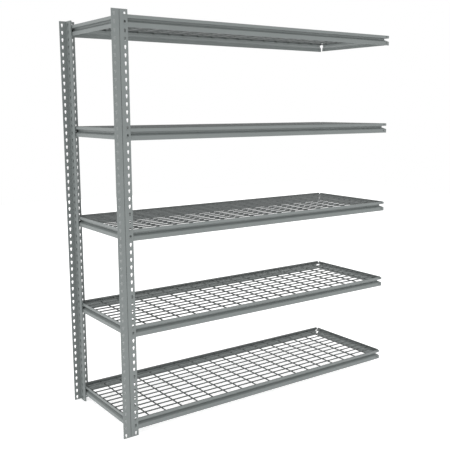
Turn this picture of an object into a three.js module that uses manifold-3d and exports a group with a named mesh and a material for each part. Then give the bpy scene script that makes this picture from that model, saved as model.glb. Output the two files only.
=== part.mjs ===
// Boltless steel shelving, add-on bay: two tee posts on the left, five levels of
// riveted beams and a welded wire deck on each level.
// Millimetres, +Z up. X runs along the shelves, Y from front to rear.
// The model is laid out from the left posts' centre line and the front posts' outer
// face, and moved at the end so that the origin is under the middle of the unit.

import * as THREE from 'three';
import { mergeVertices } from 'three/addons/utils/BufferGeometryUtils.js';
import Module from 'manifold-3d';

const wasm = await Module();
wasm.setup();

// ---------------------------------------------------------------- overall sizes
const POST_HEIGHT = 2133.6;
const POST_SPACING = 622; // outer flange face of the front post to that of the rear post
const SHELF_LENGTH = 1838; // left posts' centre line to the right ends of the beams
const GAP = 0.3; // clearance between pieces that touch

// ---------------------------------------------------------------- tee post
const POST_SHEET = 1.9;
const FLANGE_HALF_WIDTH = 42.9;
const STEM_HALF_WIDTH = 4.8; // the stem is a hairpin of two sheets
const STEM_DEPTH = 58;

// ---------------------------------------------------------------- keyholes
const KEYHOLE_PITCH = 38.1;
const KEYHOLE_COUNT = 56;
const FIRST_KEYHOLE_DROP = 17.8; // post top to the centre of the first wide circle
const FLANGE_KEYHOLE_OFFSET = 27.5; // from the post's centre line
const STEM_KEYHOLE_DEPTH = 26; // from the flange's outer face
const KEYHOLE_WIDE_RADIUS = 5.6;
const KEYHOLE_NARROW_RADIUS = 3.1;
const KEYHOLE_DROP = 11; // wide circle's centre to the rivet's seat

// ---------------------------------------------------------------- beams
const BEAM_SHEET = 1.8;
const UPPER_LEG = 16;
const LEDGE_DEPTH = 17.8;
const WALL_BOTTOM = 26;
const LOWER_LEG_TOP = 36;
const LONG_BEAM_HEIGHT = 58;
const SIDE_BEAM_HEIGHT = 55;
const LONG_BEAM_START = 8.25; // from the posts' centre line, at either end
const SIDE_BEAM_START = 15;
const LEDGE_CUTBACK = 8;

// ---------------------------------------------------------------- rivets
const RIVET_SIDES = 6;
const RIVET_SHANK_RADIUS = 2.8;
const RIVET_HEAD_RADIUS = 5;
const LONG_RIVET_HEAD = 3;
const SIDE_RIVET_HEAD = 2.6;
const UPPER_RIVET_DROP = 5.65; // beam's top edge to its upper rivet

// ---------------------------------------------------------------- wire decks
const WIRE = 7.6;
const WELD_SINK = 1.2; // how far the long bars sink into the cross bars
const DECK_FRONT = 4.6;
const DECK_DEPTH = 607.8; // front to rear
const DECK_LEFT = 12;
const DECK_RIGHT_CLEARANCE = 6;
const CROSS_BAR_START = 18;
const CROSS_BAR_PITCH = 202.4;
const CROSS_BAR_COUNT = 9;
const LAST_CROSS_BAR = 1828; // from the left posts' centre line, as CROSS_BAR_START
const FIRST_LONG_BAR = 8.6; // from the front flange's outer face
const LONG_BAR_PITCH = 200;
const LONG_BAR_COUNT = 4;

// The keyhole, counted from the top of the post, that takes each level's upper rivet.
const LEVEL_KEYHOLES = [54, 41, 28, 15, 1];

const PAINT = new THREE.Color(0.5, 0.53, 0.53);

// ================================================================ solids

/** Turns a closed three.js geometry into a solid that can be joined or cut. */
function toSolid(geometry) {
  const bare = geometry.clone();
  bare.deleteAttribute('normal');
  bare.deleteAttribute('uv');
  const welded = mergeVertices(bare, 1e-4);
  return new wasm.Manifold(new wasm.Mesh({
    numProp: 3,
    vertProperties: new Float32Array(welded.attributes.position.array),
    triVerts: new Uint32Array(welded.index.array),
  }));
}

/** Joins overlapping closed geometries into one closed geometry. */
function join(geometries) {
  const solid = geometries.map(toSolid).reduce((sum, next) => sum.add(next));
  const mesh = solid.getMesh();
  const joined = new THREE.BufferGeometry();
  joined.setAttribute('position', new THREE.BufferAttribute(mesh.vertProperties, 3));
  joined.setIndex(new THREE.BufferAttribute(mesh.triVerts, 1));
  return joined;
}

function boxBetween(low, high) {
  const size = high.map((value, i) => value - low[i]);
  const box = new THREE.BoxGeometry(...size);
  return box.translate(...low.map((value, i) => value + size[i] / 2));
}

function polygon(points) {
  return points.map(([x, y]) => new THREE.Vector2(x, y));
}

function extrude(shape, depth) {
  return new THREE.ExtrudeGeometry(shape, { depth, bevelEnabled: false });
}

// ================================================================ posts

function keyholeHeight(number) {
  return POST_HEIGHT - FIRST_KEYHOLE_DROP - (number - 1) * KEYHOLE_PITCH;
}

/** Six-sided keyhole, wide above and narrow at the rivet's seat. */
function keyhole(x, z) {
  const wide = KEYHOLE_WIDE_RADIUS;
  const narrow = KEYHOLE_NARROW_RADIUS;
  const bottom = -KEYHOLE_DROP - narrow;
  const outline = [
    [wide, -wide / 4], [wide / 2, wide * 0.9], [-wide / 2, wide * 0.9],
    [-wide, -wide / 4], [-narrow, bottom], [narrow, bottom],
  ];
  return new THREE.Path(polygon(outline.map(([dx, dz]) => [x + dx, z + dz])));
}

/** A full-height sheet in the XZ plane with its near face on Y = 0. */
function punchedSheet(left, right, holes) {
  const outline = [[left, 0], [right, 0], [right, POST_HEIGHT], [left, POST_HEIGHT]];
  const shape = new THREE.Shape(polygon(outline));
  shape.holes = holes;
  return extrude(shape, POST_SHEET).rotateX(Math.PI / 2).translate(0, POST_SHEET, 0);
}

/** Tee post with its flange's outer face on Y = 0 and its stem towards +Y. */
function teePost() {
  const heights = Array.from({ length: KEYHOLE_COUNT }, (_, i) => keyholeHeight(i + 1));
  const innerHalf = STEM_HALF_WIDTH - POST_SHEET;
  const flange = (side) => {
    const edges = [side * innerHalf, side * FLANGE_HALF_WIDTH].sort((a, b) => a - b);
    return punchedSheet(...edges, heights.map((z) => keyhole(side * FLANGE_KEYHOLE_OFFSET, z)));
  };
  const rivetHeights = LEVEL_KEYHOLES.flatMap((n) => [keyholeHeight(n), keyholeHeight(n + 1)]);
  const stemHoles = rivetHeights.map((z) => keyhole(-STEM_KEYHOLE_DEPTH, z));
  const wall = (nearFace) => punchedSheet(-STEM_DEPTH, 0, stemHoles)
    .rotateZ(-Math.PI / 2)
    .translate(nearFace, 0, 0);
  const nose = boxBetween(
    [-STEM_HALF_WIDTH, STEM_DEPTH - POST_SHEET, 0],
    [STEM_HALF_WIDTH, STEM_DEPTH, POST_HEIGHT],
  );
  return join([flange(-1), flange(1), wall(innerHalf), wall(-STEM_HALF_WIDTH), nose]);
}

// ================================================================ beams

/** Section of a beam: [depth inwards from the outer face, height below the top edge]. */
function beamSection(height) {
  const sheet = BEAM_SHEET;
  const inner = LEDGE_DEPTH - sheet;
  return [
    [0, 0], [0, UPPER_LEG], [inner, UPPER_LEG], [inner, WALL_BOTTOM],
    [0, LOWER_LEG_TOP], [0, height], [sheet, height], [sheet, LOWER_LEG_TOP + sheet / 2],
    [LEDGE_DEPTH, WALL_BOTTOM + sheet / 2], [LEDGE_DEPTH, UPPER_LEG - sheet],
    [sheet, UPPER_LEG - sheet], [sheet, 0],
  ];
}

/** How much shorter the folded ledge is than the legs, at each end: a mitred corner. */
function endCutback(depth) {
  return depth > BEAM_SHEET ? depth + LEDGE_CUTBACK : 0;
}

/** Headed rivet along -Y, starting inside the beam's outer sheet. */
function rivet(x, z, headThickness) {
  const headStart = -(GAP + POST_SHEET + GAP);
  const cylinder = (radius, from, to) => (
    new THREE.CylinderGeometry(radius, radius, from - to, RIVET_SIDES)
      .translate(x, (from + to) / 2, z)
  );
  return [
    cylinder(RIVET_SHANK_RADIUS, BEAM_SHEET / 2, headStart - headThickness / 2),
    cylinder(RIVET_HEAD_RADIUS, headStart, headStart - headThickness),
  ];
}

/** Beam along +X from X = 0, outer face on Y = 0, top edge on Z = 0, inside towards +Y. */
function beam(length, height, rivetInset, headThickness) {
  const section = new THREE.Shape(polygon(beamSection(height).map(([d, drop]) => [d, -drop])));
  const body = extrude(section, length);
  const position = body.attributes.position;
  for (let i = 0; i < position.count; i += 1) {
    const depth = position.getX(i);
    const cut = endCutback(depth);
    const along = position.getZ(i) > length / 2 ? length - cut : cut;
    position.setXYZ(i, depth, position.getY(i), along);
  }
  // section (depth, height) and length become Y, Z and X
  body.applyMatrix4(new THREE.Matrix4().set(0, 0, 1, 0, 1, 0, 0, 0, 0, 1, 0, 0, 0, 0, 0, 1));
  const rivets = [rivetInset, length - rivetInset].flatMap((x) => [
    ...rivet(x, -UPPER_RIVET_DROP, headThickness),
    ...rivet(x, -UPPER_RIVET_DROP - KEYHOLE_PITCH, headThickness),
  ]);
  return join([body, ...rivets]);
}

// ================================================================ wire decks

/** Deck grid: cross bars below, long bars on them, its underside on Z = 0. */
function wireDeck() {
  const right = SHELF_LENGTH - DECK_RIGHT_CLEARANCE;
  const back = DECK_FRONT + DECK_DEPTH;
  const crossBars = Array.from(
    { length: CROSS_BAR_COUNT },
    (_, i) => CROSS_BAR_START + i * CROSS_BAR_PITCH,
  );
  crossBars.push(LAST_CROSS_BAR);
  const longBars = Array.from(
    { length: LONG_BAR_COUNT },
    (_, i) => FIRST_LONG_BAR + i * LONG_BAR_PITCH,
  );
  const half = WIRE / 2;
  const upper = WIRE - WELD_SINK;
  return join([
    ...crossBars.map((x) => boxBetween([x - half, DECK_FRONT, 0], [x + half, back, WIRE])),
    ...longBars.map((y) => boxBetween([DECK_LEFT, y - half, upper], [right, y + half, upper + WIRE])),
  ]);
}

// ================================================================ assembly

const shelving = new THREE.Group();
shelving.name = 'boltless_shelving';

// Centre line of the next bay's posts, which the right side beams would hook into. Their
// rivet heads end on it, so it is also the right side of the unit's box.
const nextPosts = SHELF_LENGTH + LONG_BEAM_START;
shelving.position.set(-(nextPosts - FLANGE_HALF_WIDTH) / 2, -POST_SPACING / 2, 0);

function add(name, geometry, x, y, z, turn = 0) {
  const paint = new THREE.MeshStandardMaterial({ color: PAINT, roughness: 0.45, metalness: 0.1 });
  const mesh = new THREE.Mesh(geometry, paint);
  mesh.name = name;
  mesh.position.set(x, y, z);
  mesh.rotation.z = turn;
  shelving.add(mesh);
}

const post = teePost();
add('front_post', post, 0, 0, 0);
add('rear_post', post, 0, POST_SPACING, 0, Math.PI);

const longLength = SHELF_LENGTH - LONG_BEAM_START;
const longInset = FLANGE_KEYHOLE_OFFSET - LONG_BEAM_START;
const longBeam = beam(longLength, LONG_BEAM_HEIGHT, longInset, LONG_RIVET_HEAD);

const sideLength = POST_SPACING - 2 * SIDE_BEAM_START;
const sideInset = STEM_KEYHOLE_DEPTH - SIDE_BEAM_START;
const sideBeam = beam(sideLength, SIDE_BEAM_HEIGHT, sideInset, SIDE_RIVET_HEAD);

const deck = wireDeck();
const longFace = POST_SHEET + GAP;
const leftFace = STEM_HALF_WIDTH + GAP;
const rightFace = nextPosts - leftFace;

LEVEL_KEYHOLES.forEach((number, i) => {
  const level = i + 1;
  const seat = keyholeHeight(number) - KEYHOLE_DROP;
  const top = seat + UPPER_RIVET_DROP;
  const quarter = Math.PI / 2;
  add(`front_beam_${level}`, longBeam, LONG_BEAM_START, longFace, top);
  add(`rear_beam_${level}`, longBeam, SHELF_LENGTH, POST_SPACING - longFace, top, Math.PI);
  add(`left_beam_${level}`, sideBeam, leftFace, POST_SPACING - SIDE_BEAM_START, top, -quarter);
  add(`right_beam_${level}`, sideBeam, rightFace, SIDE_BEAM_START, top, quarter);
  add(`wire_deck_${level}`, deck, 0, 0, top - UPPER_LEG + BEAM_SHEET + GAP);
});

export default shelving;
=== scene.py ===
"""Boltless steel shelving: formed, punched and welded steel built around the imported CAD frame.

The shelving's sizes are in millimetres, and MM turns them to metres where a mesh is made or placed.
"""
import math

import bmesh
import bpy
from mathutils import Matrix, Vector


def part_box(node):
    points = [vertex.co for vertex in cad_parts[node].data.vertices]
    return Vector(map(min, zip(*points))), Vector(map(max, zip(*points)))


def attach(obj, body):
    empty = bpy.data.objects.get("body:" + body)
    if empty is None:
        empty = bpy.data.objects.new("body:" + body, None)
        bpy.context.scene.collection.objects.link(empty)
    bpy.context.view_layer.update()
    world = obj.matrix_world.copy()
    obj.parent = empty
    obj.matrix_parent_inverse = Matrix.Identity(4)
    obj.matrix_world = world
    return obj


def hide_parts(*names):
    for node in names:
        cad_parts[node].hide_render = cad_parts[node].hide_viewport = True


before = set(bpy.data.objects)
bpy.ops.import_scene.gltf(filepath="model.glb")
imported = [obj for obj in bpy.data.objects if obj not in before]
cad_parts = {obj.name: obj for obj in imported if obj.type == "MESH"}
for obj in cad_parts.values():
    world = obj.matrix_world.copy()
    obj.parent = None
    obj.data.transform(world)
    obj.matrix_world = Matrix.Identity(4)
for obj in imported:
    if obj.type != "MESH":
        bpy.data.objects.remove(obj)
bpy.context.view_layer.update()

MM = 0.001

# ------------------------------------------------------------------ tee post
POST_SHEET = 1.9
THROAT_HALF = 1.2  # mid-surface of the hairpin where it leaves the flange
STEM_HALF = 3.85  # mid-surface of the hairpin's walls
FLARE_DEPTH = 9.0  # depth at which the hairpin has opened to its full width
FLANGE_BEND = 2.6  # radius of the mid-surface, as for the other bends
FLANGE_BEND_STEPS = 5
NOSE_BEND = 1.6
NOSE_BEND_STEPS = 4
FLANGE_KEYHOLE_OFFSET = 27.5
STEM_KEYHOLE_DEPTH = 26.0

# ------------------------------------------------------------------ keyholes
KEYHOLE_PITCH = 38.1
FIRST_KEYHOLE_DROP = 17.8
KEYHOLE_COUNT = 56
KEYHOLE_WIDE_RADIUS = 5.6
KEYHOLE_NARROW_RADIUS = 3.1
KEYHOLE_DROP = 11.0
WIDE_ARC_STEPS = 12
NARROW_ARC_STEPS = 10
OUTLINE_STRIDE = 3  # outline points for each point of the cell's border
CELL_ABOVE = 13.0  # the cell's upper edge, from the wide circle's centre
CELL_HALF_WIDTH = 8.4

# ------------------------------------------------------------------ beams
BEAM_SHEET = 1.8
UPPER_LEG = 16.0
LEDGE_DEPTH = 17.8
WALL_BOTTOM = 26.0
LOWER_LEG_TOP = 36.0
BEAM_BEND = 2.2
BEAM_BEND_STEPS = 4
LEDGE_CUTBACK = 8.0
PRONG_CORNER = 1.8
PRONG_CORNER_DROPS = (0, 0.15, 0.5, 1.1, PRONG_CORNER)
BEAM_MIDDLE_SHARES = (0.25, 0.5, 0.75)

# ------------------------------------------------------------------ rivets
HEAD_RADIUS = 5.0
HEAD_PLAY = 0.6  # what is left between head and beam beyond the post's sheet
DOME_ANGLES = (20, 42, 65, 90)
DOME_SHARE = 0.75  # the dome's part of the head's thickness
SHANK_RADIUS = 2.8
TAIL_RADIUS = 4.2
TAIL_HEIGHT = 1.3
TAIL_RIM_SHARE = 0.6  # height of the tail's straight rim
TAIL_TOP_SHARE = 0.8  # radius of the tail's flat top
UPPER_RIVET_DROP = 5.65
RIVET_SIDES = 20

# ------------------------------------------------------------------ wire decks
WIRE_RADIUS = 3.8
WIRE_CHAMFER = 0.6
WIRE_SIDES = 12
WELD_SINK = 1.2
BEAD_SPREAD = 1.25  # half width of a weld bead, in wire radii
BEAD_RISE = 0.75  # half height of a weld bead, in wire radii
BEAD_SIDES = 8
BEAD_TIERS = 3
CROSS_WIRE_START = 6.0  # from the deck's left end
CROSS_WIRE_PITCH = 101.2
CROSS_WIRE_COUNT = 18
LAST_CROSS_WIRE_INSET = 4.0  # from the deck's right end
LONG_WIRE_START = 4.0  # from the deck's front edge
LONG_WIRE_PITCH = 50.0
LONG_WIRE_COUNT = 13

# ------------------------------------------------------------------ looks
SMOOTH_ANGLE = 38
SHEET_COLOUR = (0.188, 0.208, 0.205)
SHEET_SHADE = 0.95  # the darker end of the mottle
SHEET_ROUGHNESS = 0.42
WIRE_COLOUR = (0.100, 0.111, 0.109)
WIRE_SHADE = 0.92
WIRE_ROUGHNESS = 0.4
MOTTLE_SCALE = 9.0
HAZE_SCALE = 60.0
HAZE_SPREAD = 0.06
PEEL_SCALE = 900.0
PEEL_STRENGTH = 0.08
PEEL_DISTANCE = 0.0004

# ------------------------------------------------------------------ studio, in metres and degrees
FLOOR_REACH = 9.0
FLOOR_DROP = 0.001
FLOOR_SHADE = 0.85
FLOOR_GLOW = 0.55
SOFTBOX_POWER = 35.0
SOFTBOX_WIDTH = 4.0
SOFTBOX_DEPTH = 3.0
SOFTBOX_PLACE = (-5.5, -0.5, 1.6)
CAMERA_PLACE = (-2.4757, -3.4250, 1.6708)
CAMERA_AZIMUTH = 35.83
CAMERA_PITCH = 9.434
CAMERA_ROLL = 0.153
CAMERA_LENS = 56.97
CAMERA_SENSOR = 36.0
CAMERA_SHIFT = (-0.0262, 0.0042)
CAMERA_REACH = 50.0  # nothing past this is drawn


# ================================================================== mesh helpers
def mesh_object(name, verts, faces):
    """Object from a list of points in millimetres and a list of faces."""
    mesh = bpy.data.meshes.new(name)
    mesh.from_pydata([Vector(v) * MM for v in verts], [], faces)
    mesh.validate()
    mesh.update()
    return linked_object(mesh)


def linked_object(mesh):
    """Object of the mesh's name, in the scene."""
    obj = bpy.data.objects.new(mesh.name, mesh)
    bpy.context.scene.collection.objects.link(obj)
    return obj


def bake_modifiers(obj):
    """Replaces the object's mesh with what its modifiers make of it."""
    bpy.context.view_layer.update()
    evaluated = obj.evaluated_get(bpy.context.evaluated_depsgraph_get())
    baked = bpy.data.meshes.new_from_object(evaluated)
    baked.name = obj.data.name
    obj.modifiers.clear()
    obj.data = baked


def thicken(obj, sheet):
    """Gives a mid-surface its sheet thickness, half to each side."""
    solidify = obj.modifiers.new("sheet", "SOLIDIFY")
    solidify.thickness = sheet * MM
    solidify.offset = 0.0
    solidify.use_even_offset = True
    bake_modifiers(obj)


def join_into(obj, parts):
    """Joins closed shells into one piece's mesh."""
    together = bmesh.new()
    together.from_mesh(obj.data)
    for part in parts:
        together.from_mesh(part)
    together.to_mesh(obj.data)
    together.free()


def smooth_bends(obj):
    """Smooth shading over the bends, sharp along the sheet's edges."""
    for polygon in obj.data.polygons:
        polygon.use_smooth = True
    obj.data.set_sharp_from_angle(angle=math.radians(SMOOTH_ANGLE))


def stitch(build, rings, sides):
    """Faces between each ring and the next; a ring of one point closes a shell."""
    for near, far in zip(rings, rings[1:]):
        for i in range(sides):
            j = (i + 1) % sides
            corners = [near[i % len(near)], near[j % len(near)], far[j % len(far)], far[i % len(far)]]
            build.faces.new(list(dict.fromkeys(corners)))


def finished_mesh(build, name):
    """Mesh with its faces pointing out, from a bmesh that is then done with."""
    bmesh.ops.recalc_face_normals(build, faces=build.faces)
    mesh = bpy.data.meshes.new(name)
    build.to_mesh(mesh)
    build.free()
    return mesh


def arc(centre, radius, start, end, steps):
    """Points along an arc; angles in degrees."""
    points = []
    for i in range(steps + 1):
        angle = math.radians(start + (end - start) * i / steps)
        points.append((centre[0] + radius * math.cos(angle), centre[1] + radius * math.sin(angle)))
    return points


def rounded_path(corners, radius, steps):
    """Polyline through the corners, with each inner corner turned into an arc."""
    path = [Vector(corners[0])]
    for before, corner, after in zip(corners, corners[1:], corners[2:]):
        corner = Vector(corner)
        back = (Vector(before) - corner).normalized()
        ahead = (Vector(after) - corner).normalized()
        half = back.angle(ahead) / 2
        centre = corner + (back + ahead).normalized() * radius / math.sin(half)
        reach = radius / math.tan(half)
        start = corner + back * reach - centre
        end = corner + ahead * reach - centre
        turn = start.angle(end)
        for i in range(steps + 1):
            t = i / steps
            blend = (start * math.sin((1 - t) * turn) + end * math.sin(t * turn)) / math.sin(turn)
            path.append(centre + blend)
    path.append(Vector(corners[-1]))
    return path


# ================================================================== tee posts
def keyhole_outline():
    """Points of a keyhole, anticlockwise from the right side of its wide circle."""
    lean = math.degrees(math.asin((KEYHOLE_WIDE_RADIUS - KEYHOLE_NARROW_RADIUS) / KEYHOLE_DROP))
    wide = arc((0, 0), KEYHOLE_WIDE_RADIUS, -lean, 180 + lean, WIDE_ARC_STEPS)
    narrow = arc((0, -KEYHOLE_DROP), KEYHOLE_NARROW_RADIUS, 180 + lean, 360 - lean, NARROW_ARC_STEPS)
    return wide + narrow


def cell_border(width):
    """Eight points round a punched cell, as (across, up) from the wide circle's centre."""
    half = width / 2
    below = CELL_ABOVE - KEYHOLE_PITCH
    middle = (CELL_ABOVE + below) / 2
    return [
        (half, middle), (half, CELL_ABOVE), (0, CELL_ABOVE), (-half, CELL_ABOVE),
        (-half, middle), (-half, below), (0, below), (half, below),
    ]


def post_stations(depth, flange_half):
    """Mid-line of the post's left half, flange edge to nose, and which stretches are punched."""
    mid = POST_SHEET / 2
    nose = depth - mid
    points = [(-flange_half, mid)]
    flange_cell = len(points)
    for side in (-1, 1):
        points.append((-FLANGE_KEYHOLE_OFFSET + side * CELL_HALF_WIDTH, mid))
    points += arc((-THROAT_HALF - FLANGE_BEND, mid + FLANGE_BEND), FLANGE_BEND, -90, 0, FLANGE_BEND_STEPS)
    points.append((-STEM_HALF, FLARE_DEPTH))
    stem_cell = len(points)
    for side in (-1, 1):
        points.append((-STEM_HALF, STEM_KEYHOLE_DEPTH + side * CELL_HALF_WIDTH))
    points += arc((NOSE_BEND - STEM_HALF, nose - NOSE_BEND), NOSE_BEND, 180, 90, NOSE_BEND_STEPS)
    points.append((0, nose))
    return points, [flange_cell, stem_cell]


def punched_surface(stations, punched, top):
    """Points and faces of the mid-surface: the mid-line drawn up to the top, with its keyholes."""
    columns = len(stations) - 1
    verts = []
    faces = []
    shared = {}

    def vertex(column, z):
        """Vertex on the mid-line; a half column is the middle of a punched cell."""
        key = (column, round(z, 3))
        if key not in shared:
            first = Vector(stations[int(column)])
            second = Vector(stations[min(int(column) + 1, columns)])
            place = first.lerp(second, column - int(column))
            shared[key] = len(verts)
            verts.append((place.x, place.y, z))
        return shared[key]

    outline = keyhole_outline()
    for i in range(columns):
        first = Vector(stations[i])
        second = Vector(stations[i + 1])
        along = (second - first).normalized()
        middle = (first + second) / 2
        width = (second - first).length
        for number in range(KEYHOLE_COUNT):
            centre = top - FIRST_KEYHOLE_DROP - number * KEYHOLE_PITCH
            # the lowest cell ends at the floor
            border = [(u, max(centre + dz, 0.0)) for u, dz in cell_border(width)]
            ring = [vertex(i + 0.5 + u / width, z) for u, z in border]
            if i not in punched:
                faces.append([ring[7], ring[0], ring[4], ring[5]])
                faces.append([ring[0], ring[1], ring[3], ring[4]])
                continue
            start = len(verts)
            for u, dz in outline:
                place = middle + along * u
                verts.append((place.x, place.y, centre + dz))
            for j in range(len(ring)):
                steps = range(OUTLINE_STRIDE, -1, -1)
                hole = [start + (OUTLINE_STRIDE * j + step) % len(outline) for step in steps]
                faces.append([ring[j], ring[(j + 1) % len(ring)]] + hole)
        rim = top - FIRST_KEYHOLE_DROP + CELL_ABOVE
        lower = [vertex(i, rim), vertex(i + 1, rim)]
        if i in punched:
            lower.insert(1, vertex(i + 0.5, rim))
        faces.append(lower + [vertex(i + 1, top), vertex(i, top)])
    return verts, faces


def tee_post(name, node):
    """Punched sheet, folded into a flange with a hairpin stem, around the CAD post."""
    low, high = (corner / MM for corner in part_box(node))
    left, punched = post_stations(high.y - low.y, (high.x - low.x) / 2)
    stations = left + [(-x, y) for x, y in reversed(left[:-1])]
    last = len(stations) - 2
    punched = punched + [last - i for i in punched]
    verts, faces = punched_surface(stations, punched, high.z)

    post = mesh_object(name, verts, faces)
    thicken(post, POST_SHEET)
    smooth_bends(post)
    middle_x = (low.x + high.x) / 2
    if node == "rear_post":
        place = Matrix.Translation((middle_x * MM, high.y * MM, 0)) @ Matrix.Rotation(math.pi, 4, "Z")
    else:
        place = Matrix.Translation((middle_x * MM, low.y * MM, 0))
    post.data.transform(place)
    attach(post, "frame")
    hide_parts(node)
    return post


# ================================================================== rivets
def rivet_mesh(x, z, head_thickness):
    """Turned rivet along the beam's depth: domed head outside, shank, flattened tail inside."""
    seat = -(POST_SHEET + HEAD_PLAY)
    crown = seat - head_thickness
    profile = [(0.0, crown)]
    for angle in DOME_ANGLES:
        turn = math.radians(angle)
        rise = head_thickness * DOME_SHARE * (1 - math.cos(turn))
        profile.append((HEAD_RADIUS * math.sin(turn), crown + rise))
    profile += [(HEAD_RADIUS, seat), (SHANK_RADIUS, seat), (SHANK_RADIUS, BEAM_SHEET)]
    profile += [(TAIL_RADIUS, BEAM_SHEET), (TAIL_RADIUS, BEAM_SHEET + TAIL_HEIGHT * TAIL_RIM_SHARE)]
    profile += [(TAIL_RADIUS * TAIL_TOP_SHARE, BEAM_SHEET + TAIL_HEIGHT), (0.0, BEAM_SHEET + TAIL_HEIGHT)]
    build = bmesh.new()
    rings = []
    for radius, y in profile:
        count = RIVET_SIDES if radius else 1
        ring = []
        for i in range(count):
            angle = 2 * math.pi * i / RIVET_SIDES
            place = (x + radius * math.cos(angle), y, z + radius * math.sin(angle))
            ring.append(build.verts.new(Vector(place) * MM))
        rings.append(ring)
    stitch(build, rings, RIVET_SIDES)
    return finished_mesh(build, "rivet")


# ================================================================== beams
def end_cut(depth):
    """The mitred ledge: how much shorter the sheet is at each end, at this depth."""
    share = max(depth - BEAM_SHEET, 0) / (LEDGE_DEPTH - BEAM_SHEET)
    return share * (LEDGE_DEPTH + LEDGE_CUTBACK)


def corner_cut(distance):
    """Rounding of a prong's corner, at this distance from the leg's free edge."""
    if distance >= PRONG_CORNER:
        return 0.0
    inside = PRONG_CORNER - distance
    return PRONG_CORNER - math.sqrt(PRONG_CORNER ** 2 - inside ** 2)


def beam_path(height):
    """Mid-line of the beam's section, top to bottom, as (depth, height from the top edge)."""
    mid = BEAM_SHEET / 2
    back = LEDGE_DEPTH - mid
    corners = [
        (mid, 0), (mid, -(UPPER_LEG - mid)), (back, -(UPPER_LEG - mid)),
        (back, -(WALL_BOTTOM + mid / 2)), (mid, -(LOWER_LEG_TOP + mid / 2)), (mid, -height),
    ]
    path = rounded_path(corners, BEAM_BEND, BEAM_BEND_STEPS)
    top = [Vector((mid, -drop)) for drop in PRONG_CORNER_DROPS]
    bottom = [Vector((mid, -height + rise)) for rise in reversed(PRONG_CORNER_DROPS)]
    return top + path[1:-1] + bottom


def beam(name, node, outer, inset, turn):
    """Riveted beam, laid along X from the origin and placed where its CAD node is."""
    low, high = (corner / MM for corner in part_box(node))
    size = high - low
    length = max(size.x, size.y)
    height = size.z
    head_thickness = min(size.x, size.y) - LEDGE_DEPTH - POST_SHEET - HEAD_PLAY

    verts = []
    faces = []
    path = beam_path(height)
    middles = [length * share for share in BEAM_MIDDLE_SHARES]
    for point in path:
        nearest_edge = min(-point.y, height + point.y)
        cut = end_cut(point.x) + corner_cut(nearest_edge)
        for x in [cut, *middles, length - cut]:
            verts.append((x, point.x, point.y))
    row = len(middles) + 2
    for i in range(len(path) - 1):
        for j in range(row - 1):
            first = i * row + j
            faces.append([first, first + 1, first + row + 1, first + row])
    piece = mesh_object(name, verts, faces)
    thicken(piece, BEAM_SHEET)
    rivets = []
    for x in (inset, length - inset):
        for drop in (UPPER_RIVET_DROP, UPPER_RIVET_DROP + KEYHOLE_PITCH):
            rivets.append(rivet_mesh(x, -drop, head_thickness))
    join_into(piece, rivets)
    smooth_bends(piece)
    place = Matrix.Translation(Vector(outer(low, high)) * MM) @ Matrix.Rotation(turn, 4, "Z")
    piece.data.transform(place)
    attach(piece, "frame")
    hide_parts(node)
    return piece


# ================================================================== wire decks
def wire_between(build, start, end):
    """Round wire with chamfered cut ends."""
    axis = Vector(end) - Vector(start)
    turn = axis.to_track_quat("Z", "Y")
    length = axis.length
    cut_radius = WIRE_RADIUS - WIRE_CHAMFER
    stations = [
        (0, cut_radius), (WIRE_CHAMFER, WIRE_RADIUS),
        (length - WIRE_CHAMFER, WIRE_RADIUS), (length, cut_radius),
    ]
    rings = []
    for along, radius in stations:
        ring = []
        for i in range(WIRE_SIDES):
            angle = 2 * math.pi * (i + 0.5) / WIRE_SIDES
            local = Vector((radius * math.cos(angle), radius * math.sin(angle), along))
            ring.append(build.verts.new((Vector(start) + turn @ local) * MM))
        rings.append(ring)
    stitch(build, rings, WIRE_SIDES)
    build.faces.new(list(reversed(rings[0])))
    build.faces.new(rings[-1])


def weld_bead(build, centre):
    """Low bead where two wires are fused."""
    spread = WIRE_RADIUS * BEAD_SPREAD
    rise = WIRE_RADIUS * BEAD_RISE
    rings = []
    for tier in range(BEAD_TIERS + 1):
        polar = math.pi * tier / BEAD_TIERS
        count = 1 if tier in (0, BEAD_TIERS) else BEAD_SIDES
        ring = []
        for i in range(count):
            angle = 2 * math.pi * i / BEAD_SIDES
            offset = Vector((
                spread * math.sin(polar) * math.cos(angle),
                spread * math.sin(polar) * math.sin(angle),
                rise * math.cos(polar),
            ))
            ring.append(build.verts.new((Vector(centre) + offset) * MM))
        rings.append(ring)
    stitch(build, rings, BEAD_SIDES)


def wire_deck(level):
    """Long wires welded on cross wires, filling the box of the CAD deck."""
    node = f"wire_deck_{level}"
    low, high = (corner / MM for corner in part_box(node))
    size = high - low
    lower = WIRE_RADIUS
    upper = 3 * WIRE_RADIUS - WELD_SINK
    crosses = [CROSS_WIRE_START + i * CROSS_WIRE_PITCH for i in range(CROSS_WIRE_COUNT)]
    crosses.append(size.x - LAST_CROSS_WIRE_INSET)
    longs = [LONG_WIRE_START + i * LONG_WIRE_PITCH for i in range(LONG_WIRE_COUNT)]
    build = bmesh.new()
    for x in crosses:
        wire_between(build, (x, 0, lower), (x, size.y, lower))
    for y in longs:
        wire_between(build, (0, y, upper), (size.x, y, upper))
    for x in crosses:
        for y in longs:
            weld_bead(build, (x, y, (lower + upper) / 2))
    deck = linked_object(finished_mesh(build, f"wire_deck_{level}_welded"))
    deck.data.transform(Matrix.Translation(low * MM))
    smooth_bends(deck)
    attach(deck, f"deck_{level}")
    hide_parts(node)
    return deck


# ================================================================== materials
def node_maker(material):
    """Two functions for the material: one adds a shader node, the other links two sockets."""
    tree = material.node_tree

    def add(kind):
        return tree.nodes.new(kind)

    def link(source, target):
        tree.links.new(source, target)

    return add, link


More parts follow.
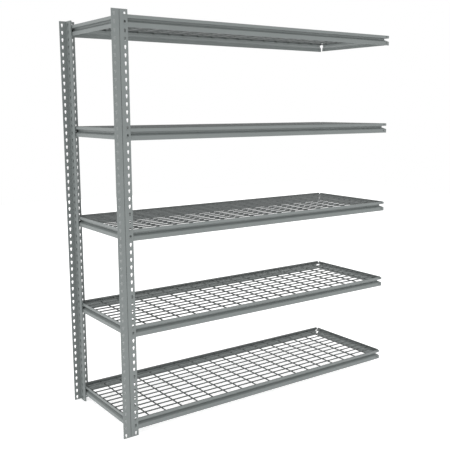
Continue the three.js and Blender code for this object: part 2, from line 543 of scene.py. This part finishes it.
def enamel(name, colour, shade, roughness):
    """Baked enamel: slight mottle, uneven gloss and fine orange peel."""
    material = bpy.data.materials.new(name)
    material.use_nodes = True
    shader = material.node_tree.nodes["Principled BSDF"]
    add, link = node_maker(material)
    place = add("ShaderNodeTexCoord")

    mottle = add("ShaderNodeTexNoise")
    mottle.inputs["Scale"].default_value = MOTTLE_SCALE
    mottle.inputs["Detail"].default_value = 4.0
    link(place.outputs["Object"], mottle.inputs["Vector"])
    tint = add("ShaderNodeValToRGB")
    tint.color_ramp.elements[0].position = 0.3
    tint.color_ramp.elements[0].color = (*[c * shade for c in colour], 1)
    tint.color_ramp.elements[1].position = 0.7
    tint.color_ramp.elements[1].color = (*colour, 1)
    link(mottle.outputs["Fac"], tint.inputs["Fac"])
    link(tint.outputs["Color"], shader.inputs["Base Color"])

    haze = add("ShaderNodeTexNoise")
    haze.inputs["Scale"].default_value = HAZE_SCALE
    haze.inputs["Detail"].default_value = 3.0
    link(place.outputs["Object"], haze.inputs["Vector"])
    gloss = add("ShaderNodeMapRange")
    gloss.inputs["To Min"].default_value = roughness - HAZE_SPREAD
    gloss.inputs["To Max"].default_value = roughness + HAZE_SPREAD
    link(haze.outputs["Fac"], gloss.inputs["Value"])
    link(gloss.outputs["Result"], shader.inputs["Roughness"])

    peel = add("ShaderNodeTexNoise")
    peel.inputs["Scale"].default_value = PEEL_SCALE
    peel.inputs["Detail"].default_value = 2.0
    link(place.outputs["Object"], peel.inputs["Vector"])
    bump = add("ShaderNodeBump")
    bump.inputs["Strength"].default_value = PEEL_STRENGTH
    bump.inputs["Distance"].default_value = PEEL_DISTANCE
    link(peel.outputs["Fac"], bump.inputs["Height"])
    link(bump.outputs["Normal"], shader.inputs["Normal"])
    return material


# ================================================================== the shelving
def build_shelving():
    """Two posts, then the four beams and the deck of each level."""
    sheet_paint = enamel("sheet_enamel", SHEET_COLOUR, SHEET_SHADE, SHEET_ROUGHNESS)
    wire_paint = enamel("wire_enamel", WIRE_COLOUR, WIRE_SHADE, WIRE_ROUGHNESS)
    for end in ("front", "rear"):
        post = tee_post(f"{end}_post_folded", f"{end}_post")
        post.data.materials.append(sheet_paint)
    levels = sum(1 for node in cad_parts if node.startswith("wire_deck_"))
    post_low, post_high = (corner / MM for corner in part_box("front_post"))
    post_middle = (post_low.x + post_high.x) / 2
    quarter = math.pi / 2
    for level in range(1, levels + 1):
        # rivets sit on the keyholes' lines, measured from the beam's end
        long_inset = post_middle + FLANGE_KEYHOLE_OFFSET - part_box(f"front_beam_{level}")[0].x / MM
        side_inset = post_low.y + STEM_KEYHOLE_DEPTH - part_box(f"left_beam_{level}")[0].y / MM
        # outer corner where the beam starts, inset of its rivets, and turn about Z
        sides = {
            "front": (lambda low, high: (low.x, high.y - LEDGE_DEPTH, high.z), long_inset, 0),
            "rear": (lambda low, high: (high.x, low.y + LEDGE_DEPTH, high.z), long_inset, math.pi),
            "left": (lambda low, high: (high.x - LEDGE_DEPTH, high.y, high.z), side_inset, -quarter),
            "right": (lambda low, high: (low.x + LEDGE_DEPTH, low.y, high.z), side_inset, quarter),
        }
        for side, (outer, inset, turn) in sides.items():
            node = f"{side}_beam_{level}"
            piece = beam(f"{node}_riveted", node, outer, inset, turn)
            piece.data.materials.append(sheet_paint)
        wire_deck(level).data.materials.append(wire_paint)


# ================================================================== stage
def studio():
    """White surroundings, a soft light from the left, and a pale floor that glows."""
    scene = bpy.context.scene
    scene.view_settings.view_transform = "Standard"

    world = bpy.data.worlds.new("studio")
    world.use_nodes = True
    world.node_tree.nodes["Background"].inputs["Color"].default_value = (1, 1, 1, 1)
    world.node_tree.nodes["Background"].inputs["Strength"].default_value = 1.0
    scene.world = world

    soft = bpy.data.lights.new("left_softbox", "AREA")
    soft.shape = "RECTANGLE"
    soft.size = SOFTBOX_WIDTH
    soft.size_y = SOFTBOX_DEPTH
    soft.energy = SOFTBOX_POWER
    softbox = bpy.data.objects.new("left_softbox", soft)
    softbox.location = SOFTBOX_PLACE
    softbox.rotation_euler = (0, -math.pi / 2, 0)
    scene.collection.objects.link(softbox)

    reach = FLOOR_REACH / MM
    drop = FLOOR_DROP / MM
    corners = [(x * reach, y * reach, -drop) for x, y in ((-1, -1), (1, -1), (1, 1), (-1, 1))]
    floor = mesh_object("floor", corners, [[0, 1, 2, 3]])
    pale = bpy.data.materials.new("pale_floor")
    pale.use_nodes = True
    shader = pale.node_tree.nodes["Principled BSDF"]
    shader.inputs["Base Color"].default_value = (FLOOR_SHADE, FLOOR_SHADE, FLOOR_SHADE, 1)
    shader.inputs["Roughness"].default_value = 1.0
    shader.inputs["Specular IOR Level"].default_value = 0.0
    shader.inputs["Emission Color"].default_value = (1, 1, 1, 1)
    shader.inputs["Emission Strength"].default_value = FLOOR_GLOW
    floor.data.materials.append(pale)


def camera():
    """Looks down at the shelving from its front left, with a slight roll."""
    azimuth = math.radians(CAMERA_AZIMUTH)
    pitch = math.radians(CAMERA_PITCH)
    roll = math.radians(CAMERA_ROLL)
    level_ahead = Vector((math.sin(azimuth), math.cos(azimuth), 0))
    ahead = level_ahead * math.cos(pitch) - Vector((0, 0, math.sin(pitch)))
    level_right = Vector((math.cos(azimuth), -math.sin(azimuth), 0))
    level_up = level_right.cross(ahead)
    right = level_right * math.cos(roll) - level_up * math.sin(roll)
    up = level_up * math.cos(roll) + level_right * math.sin(roll)
    data = bpy.data.cameras.new("camera")
    data.sensor_width = CAMERA_SENSOR
    data.lens = CAMERA_LENS
    data.shift_x, data.shift_y = CAMERA_SHIFT
    data.clip_end = CAMERA_REACH
    eye = bpy.data.objects.new("camera", data)
    turn = Matrix((right, up, -ahead)).transposed().to_4x4()
    eye.matrix_world = Matrix.Translation(CAMERA_PLACE) @ turn
    bpy.context.scene.collection.objects.link(eye)
    bpy.context.scene.camera = eye


build_shelving()
studio()
camera()
